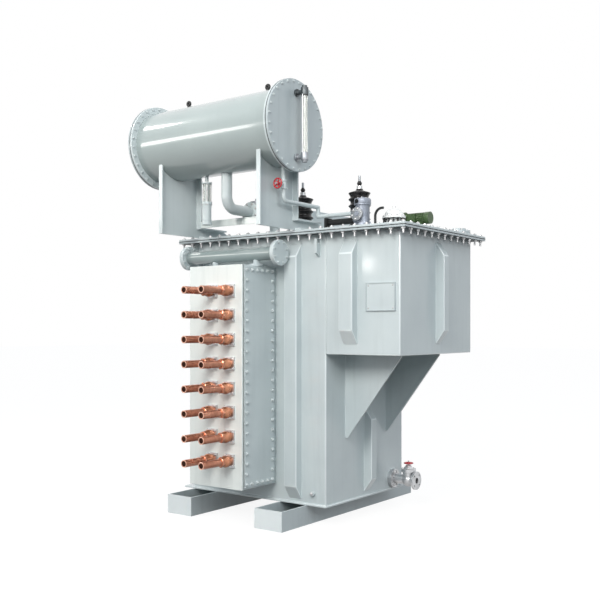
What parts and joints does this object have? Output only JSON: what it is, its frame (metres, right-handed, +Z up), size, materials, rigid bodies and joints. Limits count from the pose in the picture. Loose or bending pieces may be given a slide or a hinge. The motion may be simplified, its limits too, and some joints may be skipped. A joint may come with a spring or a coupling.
{
  "type": "furnace transformer",
  "caption": "Oil-filled furnace transformer on skids with copper low-voltage tubes, an overhanging tap compartment, bushings on the cover and a conservator on brackets.",
  "frame": {"origin": "on the ground in the middle of the four anchor holes of the skids", "axes": "+Z up, -Y the front with the copper tubes, +X the right end with the tap compartment"},
  "size_m": [2.327, 2.4955, 3.533],
  "materials": {
    "grey_paint": "glossy grey-green enamel",
    "pale_panel": "pale satin panel",
    "white_paint": "gloss white enamel",
    "copper": "drawn copper, slightly tarnished",
    "brass": "machined studs",
    "zinc": "bright zinc plate",
    "porcelain": "dark glazed porcelain",
    "red_paint": "red enamel",
    "cast_alloy": "cast alloy",
    "green_paint": "green enamel",
    "black_paint": "black enamel",
    "gauge_glass": "clear tube"
  },
  "bodies": {
    "transformer": {"skids": "grey_paint", "base_plate": "grey_paint", "main_tank": "grey_paint", "tap_compartment": "grey_paint", "tank_rim": "grey_paint", "top_cover": "grey_paint", "front_stiffeners": "grey_paint", "rear_stiffeners": "grey_paint", "end_stiffeners": "grey_paint", "overhang_gussets": "grey_paint", "lifting_lugs": "grey_paint", "lv_box": "grey_paint", "lv_panel": "pale_panel", "lv_side_covers": "grey_paint", "copper_tubes": "copper", "tube_glands": "copper", "tube_flanges": "zinc", "oil_header": "grey_paint", "header_flanges": "grey_paint", "header_stubs": "grey_paint", "conservator_shell": "grey_paint", "conservator_flanges": "grey_paint", "conservator_right_cover": "grey_paint", "conservator_left_cover": "grey_paint", "level_gauge": "grey_paint", "gauge_glass": "gauge_glass", "conservator_eyes": "black_paint", "right_bracket": "grey_paint", "left_bracket": "grey_paint", "bracket_rail": "grey_paint", "main_oil_pipe": "grey_paint", "gas_relay": "cast_alloy", "breather": "grey_paint", "conservator_valve": "grey_paint", "tap_oil_pipe": "grey_paint", "hv_bushings": "porcelain", "hv_terminals": "brass", "cover_beam": "grey_paint", "tap_gear": "cast_alloy", "drive_shaft": "black_paint", "tap_dome": "white_paint", "drive_motor": "green_paint", "vent_pipe": "black_paint", "hand_hole_cover": "grey_paint", "drain_valve": "grey_paint", "earth_boss": "zinc", "rating_plate": "grey_paint"},
    "conservator_wheel": {"conservator_wheel": "red_paint"},
    "drain_wheel": {"drain_wheel": "red_paint"}
  },
  "joints": [
    {"name": "conservator_valve_turn", "type": "hinge", "parent": "transformer", "child": "conservator_wheel", "pos_m": [0.652, -1.1055, 2.718], "axis": [0, -1, 0], "range_deg": [0, 720]},
    {"name": "drain_valve_turn", "type": "hinge", "parent": "transformer", "child": "drain_wheel", "pos_m": [0.985, 0.34, 0.4075], "axis": [0, 0, 1], "range_deg": [0, 720]}
  ]
}
